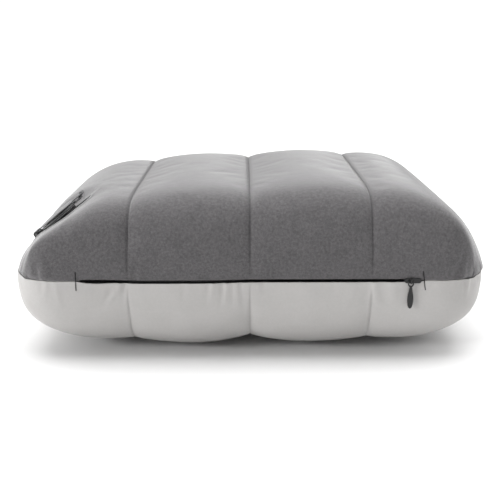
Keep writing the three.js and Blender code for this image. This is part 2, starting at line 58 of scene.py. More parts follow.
HALF_WIDTH, HALF_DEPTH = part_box("cover_top_panel")[1][:2]
SEAM_Z = joints["pull_swing"]["pos_m"][2]
HEIGHT = 0.152
CORNER_RADIUS = 0.048
CORNER_DIP = 0.002  # the seam sinks at the corners
RIGHT_LIFT = 0.104  # part by which the height grows from the middle to the right
TUBES = 4
GROOVE = 0.004  # depth of the channels between tubes
FLATTENING = 0.0012  # of the underside, where it rests on the floor
RISE = {1: HEIGHT - SEAM_Z, -1: SEAM_Z}  # of the upper (1) and lower (-1) half
ACROSS = {1: (5.3, 1.37), -1: (4.2, 3.1)}  # powers of each half's section, across the tubes
ALONG = {1: (8.0, 2.6), -1: (4.2, 3.1)}  # and along them
BLEND = {1: 4.4, -1: 1.0}  # sharpness of the hip between them
TOP_FABRIC = 1.2 * MM
BOTTOM_FABRIC = 1.0 * MM
BLADDER_INSET = 4 * MM
BLADDER_SHEET = 0.8 * MM

# ---- Slit for the zip ----

ZIP_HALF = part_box("zip_tape_upper")[1].x
SLIT_HALF = 1.5 * MM
ZIP_TAPER = 12 * MM
CLOSED_GAP = 0.1 * MM
LIP_RADIUS = 1.4 * MM  # of the fabric's folded edge at the seam

# ---- Valve's frame: u up the slope, w towards the back, n out of the cover ----

HINGE_U = -27.5 * MM
HINGE_N = -1.9 * MM
PORT_U = 37 * MM
PORT_W = 25 * MM
NEAR_VALVE = 30 * MM  # points this close to the valve's plane belong to its shoulder

VALVE_N = -Vector(joints["diaphragm_lift"]["axis"]).normalized()
VALVE_W = -Vector(joints["inner_lid_hinge"]["axis"]).normalized()
VALVE_U = VALVE_W.cross(VALVE_N).normalized()
VALVE_AT = Vector(joints["inner_lid_hinge"]["pos_m"]) - VALVE_U * HINGE_U - VALVE_N * HINGE_N
VALVE_PLACE = Matrix.Translation(VALVE_AT) @ Matrix((VALVE_U, VALVE_W, VALVE_N)).transposed().to_4x4()


VALVE_BASIS = np.array([VALVE_U, VALVE_W, VALVE_N])


def in_valve_frame(points):
    return (points - np.array(VALVE_AT)) @ VALVE_BASIS.T


def from_valve_frame(local):
    return local @ VALVE_BASIS + np.array(VALVE_AT)


SLACK = 8.6 * MM  # how far the left shoulder sinks in front of the port
SLACK_S = -0.82  # where it sinks most, and how far that reaches, in s
SLACK_SPREAD = 0.135
SLACK_FROM = 0.25  # it starts and is full this far in front of the middle, in t
SLACK_FULL = 0.56

FINE = 3 * MM  # mesh spacing of the cover along its depth
ACROSS_STEP = 0.68  # finer by this factor across the width, where the folds lie
COARSE = 7 * MM  # mesh spacing of the bladder


def bell(offset, spread):
    """1 at no offset, falling off on both sides over the spread."""
    return np.exp(-((offset / spread) ** 2))


def lengths(vectors):
    return np.linalg.norm(vectors, axis=-1, keepdims=True)


def smooth_step(low, high, value):
    f = np.clip((value - low) / (high - low), 0, 1)
    return f * f * (3 - 2 * f)


def outline_side(u, half, radius):
    """One side of the rounded rectangle: how far along it runs and how far it has turned inwards."""
    start = (half - radius) / half
    turn = math.pi / 4 * np.clip((np.abs(u) - start) / (1 - start), 0, 1)
    along = np.where(turn > 0, half - radius + radius * np.sin(turn), half * np.abs(u))
    return np.sign(u) * along, radius * (1 - np.cos(turn))


def plan(s, t, depth):
    a = HALF_WIDTH - depth
    b = HALF_DEPTH - depth
    radius = CORNER_RADIUS - depth
    mitre = radius * (1 - math.cos(math.pi / 4))
    x_side, y_inset = outline_side(s, a, radius)
    y_side, x_inset = outline_side(t, b, radius)
    return a * s + (x_side - a * s) * x_inset / mitre, b * t + (y_side - b * t) * y_inset / mitre


def section_height(u, section):
    power, round_ = section
    return np.clip(1 - np.abs(u) ** power, 0, 1) ** (1 / round_)


def fullness(side, s, t):
    """Smooth minimum of the two section heights, which rounds the hip between side and front."""
    a = np.maximum(section_height(s, ACROSS[side]), 1e-6)
    b = np.maximum(section_height(t, ALONG[side]), 1e-6)
    value = (a ** -BLEND[side] + b ** -BLEND[side] - 1) ** (-1 / BLEND[side])
    return np.where(value < 1e-5, 0, value)


def channel(s):
    """1 on the channels between tubes, 0 along the middle of a tube and outside the last channels."""
    place = (s + 1) * TUBES / 2
    nearness = 1 - 2 * np.abs(place - np.round(place))
    return np.where(np.abs(s) > 1 - 1 / TUBES, 0, nearness ** 2)


def slit_half(x, t, full):
    start = ZIP_HALF - ZIP_TAPER / 2
    along_zip = np.where(t < 0, 1 - smooth_step(start, start + ZIP_TAPER, np.abs(x)), 0)
    return CLOSED_GAP + (SLIT_HALF - CLOSED_GAP) * along_zip * (1 - full) ** 4


def shoulder_slack(s, t):
    """The left shoulder is slack in front of the port, because the valve holds its bladder back."""
    across = bell(s - SLACK_S, SLACK_SPREAD)
    return SLACK * across * (1 - np.abs(t) ** 8) * smooth_step(-SLACK_FROM, -SLACK_FULL, t)


def skin(side, s, t, depth):
    """Points of the upper (1) or lower (-1) skin, a depth in from the cover's outside."""
    full = fullness(side, s, t)
    x, y = plan(s, t, depth)
    groove = GROOVE * channel(s)
    seam = SEAM_Z - CORNER_DIP * np.abs(s * t) ** 12
    y = y - np.sign(t) * groove * smooth_step(0.25, 0.6, full) * np.abs(t) ** 6
    edge = slit_half(x, t, full) * (1 - full)
    if side > 0:
        z = seam + edge + full * ((HEIGHT - SEAM_Z - depth) * (1 + RIGHT_LIFT * s) - groove)
        return np.stack([x, y, z], -1) - np.array(VALVE_N) * shoulder_slack(s, t)[..., None]
    sunk = (seam + FLATTENING) * (1 - full) + full * groove - FLATTENING - edge
    return np.stack([x, y, np.maximum(0, sunk) + depth * full], -1)


# ---- Mesh helpers ----


def stations(section, half, rise, step, kept=()):
    """Values of s or t from -1 to 1, evenly spaced over the surface, with the kept values among them."""
    power, round_ = section
    angle = np.linspace(0, math.pi / 2, 4000)
    u = np.sin(angle) ** (2 / power)
    v = np.clip(np.cos(angle), 0, 1) ** (2 / round_)
    length = np.concatenate([[0], np.cumsum(np.hypot(np.diff(u * half), np.diff(v * rise)))])
    count = max(4, round(length[-1] / step))
    even = np.interp(np.linspace(0, length[-1], count + 1), length, u)
    rim = [(1 - (height / rise) ** round_) ** (1 / power) for height in (0.3 * MM, 0.8 * MM, 1.5 * MM)]
    fixed = np.array([0, 1, *rim, *kept])
    free = [value for value in even if np.abs(fixed - value).min() > 0.3 * step / half * (1.02 - value)]
    values = np.unique(np.concatenate([fixed, free]))
    return np.concatenate([-values[:0:-1], values])


def link(name, data):
    piece = bpy.data.objects.new(name, data)
    scene.collection.objects.link(piece)
    return piece


def shade_smooth(mesh, angle=None):
    mesh.polygons.foreach_set("use_smooth", [True] * len(mesh.polygons))
    if angle is not None:
        mesh.set_sharp_from_angle(angle=angle)


def closed_shell(name, outer, inner, faces, uv=None, seam=None):
    """Closed sheet between matching outer and inner points; every open edge of the faces gets a strip."""
    count = len(outer)
    faces = np.asarray(faces)
    edges = np.concatenate([faces[:, [k, (k + 1) % 4]] for k in range(4)])
    directed = {(a, b) for a, b in edges}
    rim = [(a, b) for a, b in edges if (b, a) not in directed]
    strips = np.array([(b, a, a + count, b + count) for a, b in rim])
    every = np.concatenate([faces, faces[:, ::-1] + count, strips])
    used = np.unique(every)
    renumber = np.full(2 * count, -1)
    renumber[used] = np.arange(len(used))
    points = np.concatenate([outer, inner])[used]
    mesh = bpy.data.meshes.new(name)
    mesh.from_pydata(points.tolist(), [], renumber[every].tolist())
    if uv is not None:
        layer = mesh.uv_layers.new(name="arc")
        both = np.concatenate([uv, uv])[used]
        index = np.empty(len(mesh.loops), np.int32)
        mesh.loops.foreach_get("vertex_index", index)
        layer.data.foreach_set("uv", both[index].astype(np.float32).ravel())
    # the seam weights drive the painted shade in the seams' creases, together with the darker stitch line
    if seam is not None:
        attribute = mesh.attributes.new("seam", "FLOAT", "POINT")
        attribute.data.foreach_set("value", np.concatenate([seam, seam])[used].astype(np.float32))
    mesh.validate()
    shade_smooth(mesh)
    return link(name, mesh)


def quads(index):
    """Faces between neighbouring rows and columns of a grid of point numbers."""
    return np.stack([index[:-1, :-1], index[:-1, 1:], index[1:, 1:], index[1:, :-1]], -1).reshape(-1, 4)


def grid_faces(rows, columns, flip=False):
    faces = quads(np.arange(rows * columns).reshape(rows, columns))
    return faces[:, ::-1] if flip else faces


def grid_normals(points, flip=False):
    """Outward normals of a grid of points, by differences along its rows and columns."""
    normal = np.cross(np.gradient(points, axis=1), np.gradient(points, axis=0))
    if flip:
        normal = -normal
    return normal / np.maximum(lengths(normal), 1e-12)


def arc_lengths(points):
    """Length across and along the surface at each grid point, which serves as its UV."""
    across = np.linalg.norm(np.diff(points, axis=1), axis=-1)
    along = np.linalg.norm(np.diff(points, axis=0), axis=-1)
    u = np.concatenate([np.zeros((points.shape[0], 1)), np.cumsum(across, 1)], 1)
    v = np.concatenate([np.zeros((1, points.shape[1])), np.cumsum(along, 0)], 0)
    middle_row = points.shape[0] // 2
    return np.stack([np.broadcast_to(u[middle_row], u.shape), v], -1)


def turned(bm, profile, sides=96):
    """Adds a solid turned about +Z from (radius, height) pairs in mm."""
    rings = []
    for radius, height in profile:
        if radius == 0:
            rings.append([bm.verts.new((0, 0, height * MM))])
        else:
            angles = [TURN * k / sides for k in range(sides)]
            rings.append([bm.verts.new((radius * MM * math.cos(a), radius * MM * math.sin(a), height * MM))
                          for a in angles])
    closed = profile[0][0] > 0
    pairs = list(zip(rings, rings[1:])) + ([(rings[-1], rings[0])] if closed else [])
    for low, high in pairs:
        for k in range(sides):
            places = ((low, k), (low, k + 1), (high, k + 1), (high, k))
            corners = list(dict.fromkeys(ring[at % len(ring)] for ring, at in places))
            if len(corners) > 2:
                bm.faces.new(corners)


def add_block(bm, low, high):
    """Adds a box from its corners in mm."""
    size = Vector(high) - Vector(low)
    middle = (Vector(high) + Vector(low)) / 2
    place = Matrix.Translation(middle * MM) @ Matrix.Diagonal((*(size * MM), 1))
    bmesh.ops.create_cube(bm, size=1, matrix=place)


def add_rod(bm, radius, start, end, sides=40):
    """Adds a cylinder between two points in mm."""
    start, end = Vector(start) * MM, Vector(end) * MM
    turn = (end - start).to_track_quat("Z", "Y").to_matrix().to_4x4()
    place = Matrix.Translation((start + end) / 2) @ turn
    bmesh.ops.create_cone(bm, cap_ends=True, segments=sides, radius1=radius * MM, radius2=radius * MM,
                          depth=(end - start).length, matrix=place)


def swept(name, path, section, up, closed=False):
    """Tube of a given section (pairs across and up) along a path of points."""
    path = np.asarray(path, float)
    if closed:
        tangent = np.roll(path, -1, 0) - np.roll(path, 1, 0)
    else:
        tangent = np.gradient(path, axis=0)
    tangent /= lengths(tangent)
    side = np.cross(tangent, up)
    side /= lengths(side)
    over = np.cross(side, tangent)
    points = path[:, None] + side[:, None] * section[:, :1] + over[:, None] * section[:, 1:]
    rows, columns = points.shape[:2]
    index = np.arange(rows * columns).reshape(rows, columns)
    caps = [] if closed else [index[0, ::-1].tolist(), index[-1].tolist()]
    index = np.concatenate([index, index[:, :1]], 1)
    if closed:
        index = np.concatenate([index, index[:1]], 0)
    mesh = bpy.data.meshes.new(name)
    mesh.from_pydata(points.reshape(-1, 3).tolist(), [], quads(index).tolist() + caps)
    bm = bmesh.new()
    bm.from_mesh(mesh)
    fill_mesh(mesh, bm)
    shade_smooth(mesh, math.radians(50))
    return link(name, mesh)


def fill_mesh(mesh, bm):
    """Writes a bmesh into a mesh, with its faces turned outwards."""
    bmesh.ops.recalc_face_normals(bm, faces=bm.faces)
    bm.to_mesh(mesh)
    bm.free()
    return mesh


def moulded(name, bm, voxel, look, place=Matrix(), passes=6, keep=0.35):
    """One smooth moulded piece from overlapping solids, with its edges rounded."""
    piece = link(name, fill_mesh(bpy.data.meshes.new(name), bm))
    remesh = piece.modifiers.new("remesh", "REMESH")
    remesh.mode = "VOXEL"
    remesh.voxel_size = voxel * MM
    smooth = piece.modifiers.new("smooth", "SMOOTH")
    smooth.factor = 0.5
    smooth.iterations = passes
    piece.modifiers.new("thin", "DECIMATE").ratio = keep
    graph = bpy.context.evaluated_depsgraph_get()
    mesh = bpy.data.meshes.new_from_object(piece.evaluated_get(graph))
    piece.modifiers.clear()
    piece.data = mesh
    piece.data.transform(place)
    shade_smooth(piece.data)
    finish_piece(piece, *look)


# ---- Materials ----


class Nodes:
    """Short way to write a shader node tree; an input takes a value or another node's output."""

    def __init__(self, name):
        self.material = bpy.data.materials.new(name)
        self.material.use_nodes = True
        self.tree = self.material.node_tree
        self.object_place = self.add("TexCoord").outputs["Object"]

    def fill(self, node, inputs):
        for key, value in inputs.items():
            if isinstance(value, bpy.types.NodeSocket):
                self.tree.links.new(value, node.inputs[key])
            else:
                node.inputs[key].default_value = value

    def add(self, kind, inputs=(), **settings):
        node = self.tree.nodes.new("ShaderNode" + kind)
        for key, value in settings.items():
            setattr(node, key, value)
        self.fill(node, dict(inputs))
        return node

    def set(self, **values):
        """Fills inputs of the surface shader."""
        shader = self.tree.nodes["Principled BSDF"]
        self.fill(shader, {key.replace("_", " "): value for key, value in values.items()})

    def noise(self, scale, detail=3, roughness=0.6):
        inputs = {"Scale": scale, "Detail": detail, "Roughness": roughness, "Vector": self.object_place}
        return self.add("TexNoise", inputs).outputs["Fac"]

    def wave(self, scale, direction, source, distortion):
        inputs = {"Scale": scale, "Distortion": distortion, "Vector": source}
        return self.add("TexWave", inputs, bands_direction=direction).outputs["Fac"]

    def ramp(self, factor, low, high, start=0.3, end=0.7):
        node = self.add("ValToRGB", {0: factor})
        elements = node.color_ramp.elements
        elements[0].position, elements[1].position = start, end
        elements[0].color, elements[1].color = (*low, 1), (*high, 1)
        return node.outputs[0]

    def range(self, factor, low, high):
        return self.add("MapRange", {"To Min": low, "To Max": high, "Value": factor}).outputs[0]

    def multiply(self, a, b):
        inputs = {"Factor": 1.0, 6: a, 7: b}
        return self.add("Mix", inputs, data_type="RGBA", blend_type="MULTIPLY").outputs[2]

    def seam_painted_shade(self, colour, amount):
        """Darkens a colour along the sewn channels: painted shade in the seams' creases, together with the
        stitch line's own darker tone.
        """
        seam = self.add("Attribute", attribute_name="seam").outputs["Fac"]
        return self.multiply(colour, self.ramp(seam, grey(1.0), grey(1 - amount), 0.0, 1.0))

    def bump(self, *layers):
        """Each layer is (height, strength, distance in metres)."""
        normal = {}
        for height, strength, distance in layers:
            inputs = {"Height": height, "Strength": strength, "Distance": distance, **normal}
            normal = {"Normal": self.add("Bump", inputs).outputs[0]}
        self.set(**normal)


def grey(value, warm=0.0):
    return (value * (1 + warm), value, value * (1 - warm))


def scaled(colour, amount):
    return tuple(value * amount for value in colour)


FLEECE_LOW = (0.082, 0.079, 0.081)
FLEECE_HIGH = (0.124, 0.119, 0.123)
FLEECE_SHEEN = 0.68
FLEECE_SHEEN_SPREAD = 0.4
KNIT_LOW = (0.442, 0.431, 0.422)
KNIT_HIGH = (0.466, 0.455, 0.446)


def fleece_material():
    """Brushed dark-grey knit: a matt nap of fine clumped fibres over a soft mottle."""
    m = Nodes("fleece_dark_grey")
    nap = m.noise(1500, 4, 0.7)
    clumps = m.noise(420, 3, 0.6)
    mottle = m.noise(70, 3, 0.55)
    base = m.ramp(clumps, FLEECE_LOW, FLEECE_HIGH, 0.3, 0.7)
    fibres = m.ramp(nap, grey(0.72), grey(1.28), 0.3, 0.7)
    patches = m.ramp(mottle, grey(0.95), grey(1.05), 0.3, 0.7)
    colour = m.multiply(m.multiply(base, fibres), patches)
    # painted shade in the seam creases, partly the stitch line's own darker tone
    m.set(Base_Color=m.seam_painted_shade(colour, 0.2), Roughness=m.range(clumps, 0.88, 1.0))
    m.set(Sheen_Weight=FLEECE_SHEEN, Sheen_Roughness=FLEECE_SHEEN_SPREAD, Specular_IOR_Level=0.1)
    m.bump((clumps, 0.35, 0.5 * MM), (nap, 0.5, 0.25 * MM))
    return m.material


def knit_material():
    """Smooth warm light-grey fabric with a very fine even weave."""
    m = Nodes("knit_light_grey")
    uv = m.add("UVMap", uv_map="arc").outputs[0]
    across = m.wave(360, "X", uv, 0.4)
    along = m.wave(360, "Y", uv, 0.4)
    weave = m.add("Math", {0: across, 1: along}, operation="MULTIPLY").outputs[0]
    mottle = m.noise(35, 3, 0.5)
    slubs = m.noise(420, 2, 0.5)
    base = m.ramp(mottle, KNIT_LOW, KNIT_HIGH, 0.35, 0.65)
    threads = m.ramp(weave, grey(0.94), grey(1.03), 0.1, 0.8)
    colour = m.multiply(m.multiply(base, threads), m.ramp(slubs, grey(0.98), grey(1.02)))
    # lighter painted shade in the lower panel's seam creases, partly the stitch line's own tone
    m.set(Base_Color=m.seam_painted_shade(colour, 0.08), Roughness=m.range(mottle, 0.62, 0.78))
    m.set(Sheen_Weight=0.15, Sheen_Roughness=0.4, Specular_IOR_Level=0.3)
    m.bump((slubs, 0.12, 0.2 * MM), (weave, 0.3, 0.08 * MM))
    return m.material


def plain_material(name, colour, roughness, spread=0.12, scale=300, bump=0.1, **more):
    """Moulded or coated surface with slight unevenness of colour, gloss and height."""
    m = Nodes(name)
    grain = m.noise(scale, 3, 0.6)
    cloud = m.noise(scale / 12, 2, 0.5)
    low, high = scaled(colour, 1 - spread), scaled(colour, 1 + spread)
    m.set(Base_Color=m.ramp(cloud, low, high), **more)
    m.set(Roughness=m.range(grain, roughness * 0.8, min(1, roughness * 1.2)))
    m.bump((grain, bump, 0.1 * MM))
    return m.material


def woven_material(name, colour, pitch):
    """Narrow woven tape or thread: ribs across and along at the given pitch in metres."""
    m = Nodes(name)
    ribs = m.wave(0.5 / pitch, "DIAGONAL", m.object_place, 0.3)
    fuzz = m.noise(1200, 3, 0.6)
    m.set(Base_Color=m.ramp(ribs, scaled(colour, 0.6), scaled(colour, 1.4), 0.1, 0.9))
    m.set(Roughness=m.range(fuzz, 0.85 * 0.85, 0.85 * 1.1), Sheen_Weight=0.1, Sheen_Roughness=0.4)
    m.bump((ribs, 0.5, 0.15 * MM), (fuzz, 0.3, 0.05 * MM))
    return m.material


FLEECE = fleece_material()
KNIT = knit_material()
TAPE = woven_material("zip_tape_black", grey(0.010), 0.5 * MM)
THREAD = woven_material("thread_black", grey(0.014), 0.3 * MM)
BINDING = woven_material("binding_grey", grey(0.24), 0.5 * MM)
COIL = plain_material("nylon_coil_black", grey(0.008), 0.35)
ENAMEL = plain_material("enamel_black", grey(0.010), 0.36, scale=600, bump=0.06,
                        Metallic=0.1, Specular_IOR_Level=0.4)
FILM = plain_material("coated_film_grey", grey(0.10), 0.55, scale=500, bump=0.15)
PLASTIC = plain_material("valve_plastic_grey", grey(0.14, -0.01), 0.42, spread=0.06, scale=700, bump=0.12)
# near-black cup: painted shade for the shadowed pocket under the lids
CUP_PAINTED_SHADE = plain_material("valve_cup_painted_shade", grey(0.025), 0.5, spread=0.06, scale=700, bump=0.12)
SILICONE = plain_material("silicone_pale", grey(0.60, 0.01), 0.4, spread=0.04, scale=600)


def finish_piece(piece, material, body, slot, *nodes):
    piece.data.materials.clear()
    piece.data.materials.append(material)
    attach(piece, body)
    if nodes:
        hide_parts(*nodes)


# ---- Cover ----

CHANNELS = (-0.5, 0.0, 0.5)
SEAM_SIDES = [abs(place + offset * MM / HALF_WIDTH)  # where the mesh follows the fine crease of each seam
              for place in (0, 0.5) for offset in (-1.6, -0.7, 0.7, 1.6)]
LIP_LEVEL = -5.8 * MM  # height of the port's front lip at the middle, in the valve's frame
LIP_BACK_RISE = -0.6 * MM  # its back lip lies lower
LIP_SLOPE = -0.125  # the lip sinks towards the upper end of the port
LIP_FLOOR = -7.4 * MM  # but stays above the bladder
LIP_SPREAD = 0.55  # reach of the dish round the port, as a part of the port's size
PINCH = {1: 1.1 * MM, -1: 0.5 * MM}  # extra valley beside each channel's seam, above and below
PINCH_WIDTH = 5 * MM
STITCH = {1: 0.9 * MM, -1: 0.4 * MM}  # fine crease of the seam itself, above and below
STITCH_WIDTH = 0.9 * MM


def rounded_lip(points, side):
    """Turns the cover's edge inwards at the seam, so that the two panels meet in a fine crease."""
    height = side * (points[..., 2] - SEAM_Z)
    near = np.clip(1 - height / LIP_RADIUS, 0, 1)
    inset = LIP_RADIUS * (1 - np.sqrt(1 - near ** 2))
    across = points[..., :2]
    corner = np.clip(np.abs(across) - [HALF_WIDTH - CORNER_RADIUS, HALF_DEPTH - CORNER_RADIUS], 1e-9, None)
    way = np.sign(across) * corner / lengths(corner)
    moved = points.copy()
    moved[..., :2] -= way * np.minimum(inset, 0.8 * LIP_RADIUS)[..., None]
    return moved


def oval_reach(points, half_u, half_w):
    """0 at the valve's axis, 1 on an oval round it; large on the pillow's far side."""
    local = in_valve_frame(points)
    reach = np.hypot(local[..., 0] / half_u, local[..., 1] / half_w)
    return np.where(np.abs(local[..., 2]) < NEAR_VALVE, reach, 9.0)


def dished(points, level, reach, spread):
    """Draws points down to a level in the valve's frame inside an oval, and ever less outside it."""
    local = in_valve_frame(points)
    share = bell(np.clip(reach - 1, 0, None), spread)
    local[..., 2] += share * np.minimum(level - local[..., 2], 0)
    return from_valve_frame(local)


def port_reach(points):
    return oval_reach(points, PORT_U, PORT_W)


def draw_in_port(points):
    """The cover dishes in towards the valve, down to the level of the port's lip."""
    local = in_valve_frame(points)
    rise = LIP_BACK_RISE * smooth_step(-PORT_W, PORT_W, local[..., 1])
    lip = np.maximum(LIP_LEVEL + LIP_SLOPE * local[..., 0] + rise, LIP_FLOOR)
    return dished(points, lip, port_reach(points), LIP_SPREAD)


BELLY = 3 * MM  # the lower tubes swell forwards over the floor
BELLY_AT = -0.8  # most in t, and most of all at this s
FULLEST_AT = -0.25
RIDGE = 0.45 * MM  # the seam allowance shows as a ridge on the left of each lower seam
RIDGE_OFFSET = 2.2 * MM
RIDGE_WIDTH = 1.1 * MM


def belly(s, t):
    across = (1 - channel(s) * (np.abs(s) < 0.25)) * smooth_step(1, 0.7, np.abs(s))
    fuller = 1 + 0.35 * bell(s - FULLEST_AT, 0.2)
    return BELLY * across * fuller * bell(t - BELLY_AT, 0.14)


def seam_ridge(s):
    return RIDGE * bell(seam_distance(s + RIDGE_OFFSET / HALF_WIDTH), RIDGE_WIDTH)


def seam_distance(s):
    """Distance from the nearest channel's seam."""
    return np.min([np.abs(s - place) for place in CHANNELS], 0) * HALF_WIDTH


def channel_crease(side, s, full):
    """Valley pressed in along the channels, beyond the tubes' own roundness."""
    offset = seam_distance(s)
    valley = PINCH[side] * bell(offset, PINCH_WIDTH) * smooth_step(0, 0.5, full)
    return valley + STITCH[side] * bell(offset, STITCH_WIDTH) * smooth_step(0, 0.3, full)


SAG = 1.0 * MM  # the front seam sags in its left half
SAG_RIGHT = (10 * MM, -45 * MM)  # where it begins and is full, from the right and from the left
SAG_LEFT = (-132 * MM, -92 * MM)
SAG_REACH = 14 * MM
WEDGE = 0.9 * MM  # the slit gapes at its left end
WEDGE_AT = 16 * MM - ZIP_HALF
WEDGE_SPREAD = 9 * MM


def seam_sag(x):
    return SAG * smooth_step(*SAG_RIGHT, x) * smooth_step(*SAG_LEFT, x)


def sagging_seam(side, points):
    """The front seam isn't ruled straight, and gapes a little at its left end."""
    x, y, z = points[..., 0], points[..., 1], points[..., 2]
    weight = smooth_step(0.9, 0.98, -y / HALF_DEPTH) * bell(z - SEAM_Z, SAG_REACH)
    drop = seam_sag(x)
    if side < 0:
        drop = drop + WEDGE * bell(x - WEDGE_AT, WEDGE_SPREAD) * (x > -ZIP_HALF)
    moved = points.copy()
    moved[..., 2] -= weight * drop
    return moved


# ---- Puckers, where the fabric is gathered into its seams ----

PUCKERS = {1: 1.0, -1: 0.9}
FOLD_DEPTH = 1.5
FOLDS = {  # single folds along the front, above and below: centre, width, length, height (mm) and lean
    1: ((170, 4.0, 34, 0.5, 0.5), (181, 3.0, 18, -0.7, 0.3), (188, 2.6, 15, 0.6, 0.15),
        (156, 3.5, 16, -0.4, 0.4), (-176, 3.5, 20, 0.5, -0.3), (-150, 3.5, 16, -0.4, -0.2)),
    -1: ((-112.5, 1.9, 17, 1.3, -0.62), (-116.5, 1.7, 16, -1.2, -0.62), (-58, 2.6, 15, -0.5, -0.1),
         (-36, 2.2, 14, -0.8, -0.15), (-32.5, 1.8, 13, 0.7, -0.15), (-23.5, 1.7, 16, -1.2, -0.12),
         (-20.5, 1.6, 15, 0.8, -0.12), (-15, 1.5, 15, -1.0, -0.05), (-8.5, 1.4, 14, -0.9, 0.0),
         (147, 1.8, 8, -1.0, -0.3), (153, 1.6, 8, -1.0, 0.4), (160, 1.8, 9, -0.7, 0.5),
         (190, 2.0, 13, -1.0, 0.0), (193.5, 1.8, 12, 0.9, 0.0), (-172, 2.6, 16, 0.8, 0.2)),
}
WALLS = ((1, -1, HALF_WIDTH), (1, 1, HALF_WIDTH), (0, -1, HALF_DEPTH), (0, 1, HALF_DEPTH))
WALL_FOLDS = 34  # random folds on each wall
SEAM_FOLDS = 9  # and at each of its channels
CORNER_FOLDS = 7  # and at each of its ends
CORNER_AT = 30 * MM  # from the corner
FOLD_SIZES = {  # ranges of width, length and height in mm
    "wall": ((1.8, 4.0), (5, 15), (0.1, 0.4)),
    "seam": ((1.8, 3.6), (8, 22), (0.3, 0.9)),
    "corner": ((1.8, 3.4), (6, 20), (0.3, 0.9)),
}


def ridge_set(rng, centres, kind):
    """Random folds at the given centres: one row each of centre, width, length, height and lean."""
    count = len(centres)
    width, length, height = FOLD_SIZES[kind]
    return np.stack([
        centres,
        rng.uniform(*width, count) * MM,
        rng.uniform(*length, count) * MM,
        rng.uniform(*height, count) * MM * rng.choice([-1, 1], count),
        rng.uniform(-0.5, 0.5, count),
    ], -1)


def puckers(side, points, normal):
    """Height of the folds that run away from the perimeter seam on all four walls."""
    rng = np.random.RandomState(11 + side)
    away = np.abs(points[..., 2] - SEAM_Z)
    total = np.zeros(points.shape[:-1])
    for axis, way, half in WALLS:  # the axis and the way a wall faces, and half its length
        facing = smooth_step(0.35, 0.8, way * normal[..., axis])
        along = points[..., 1 - axis]
        folds = [ridge_set(rng, rng.uniform(-0.93 * half, 0.93 * half, WALL_FOLDS), "wall")]
        if axis == 1:
            gathered = [rng.normal(place * HALF_WIDTH, 11 * MM, SEAM_FOLDS) for place in CHANNELS]
            folds.append(ridge_set(rng, np.concatenate(gathered), "seam"))
        corners = [rng.normal(end * (half - CORNER_AT), 8 * MM, CORNER_FOLDS) for end in (-1, 1)]
        folds.append(ridge_set(rng, np.concatenate(corners), "corner"))
        if (axis, way) == (1, -1):
            folds.append(np.array(FOLDS[side]) * [MM, MM, MM, FOLD_DEPTH * MM, 1])
        for centre, width, length, depth, lean in np.concatenate(folds):
            across = (along - centre - lean * away) / width
            total += facing * depth * np.exp(-across ** 2 - (away / length) ** 2)
    return total * (1 - np.exp(-away / (1.5 * MM)))


# ---- Inflation, by cloth simulation ----

SIM_SPACING = 5.5 * MM
SIM_FRAMES = 18
SIM_CAP = 3.5 * MM  # most that a point may move
GROWTH = 0.0025  # spare fabric over the whole panel
SEAM_GROWTH = 0.022  # and where it is gathered into the perimeter seam
GATHER_WIDTH = 16 * MM
SEAM_EASE = 5 * MM  # the fabric lies quiet this close to a channel's seam
CLOTH = {
    "quality": 6,
    "mass": 0.25,
    "tension_stiffness": 25,
    "compression_stiffness": 25,
    "shear_stiffness": 8,
    "bending_stiffness": 0.15,
    "vertex_group_mass": "held",
    "vertex_group_shrink": "gather",
    "shrink_min": -GROWTH,
    "shrink_max": -SEAM_GROWTH,
    "use_pressure": True,
    "uniform_pressure_force": 3.0,
}


def resample(values, at_rows, at_columns):
    """Cubic interpolation of a grid of vectors at fractional row and column numbers."""
    for axis, at in ((0, at_rows), (1, at_columns)):
        last = values.shape[axis] - 1
        cell = np.clip(np.floor(at).astype(int), 0, last - 1)
        f = (at - cell).reshape([-1 if k == axis else 1 for k in range(values.ndim)])
        weights = (
            -0.5 * f + f ** 2 - 0.5 * f ** 3,
            1 - 2.5 * f ** 2 + 1.5 * f ** 3,
            0.5 * f + 2 * f ** 2 - 1.5 * f ** 3,
            -0.5 * f ** 2 + 0.5 * f ** 3,
        )
        values = sum(weight * np.take(values, np.clip(cell + k - 1, 0, last), axis)
                     for k, weight in enumerate(weights))
    return values


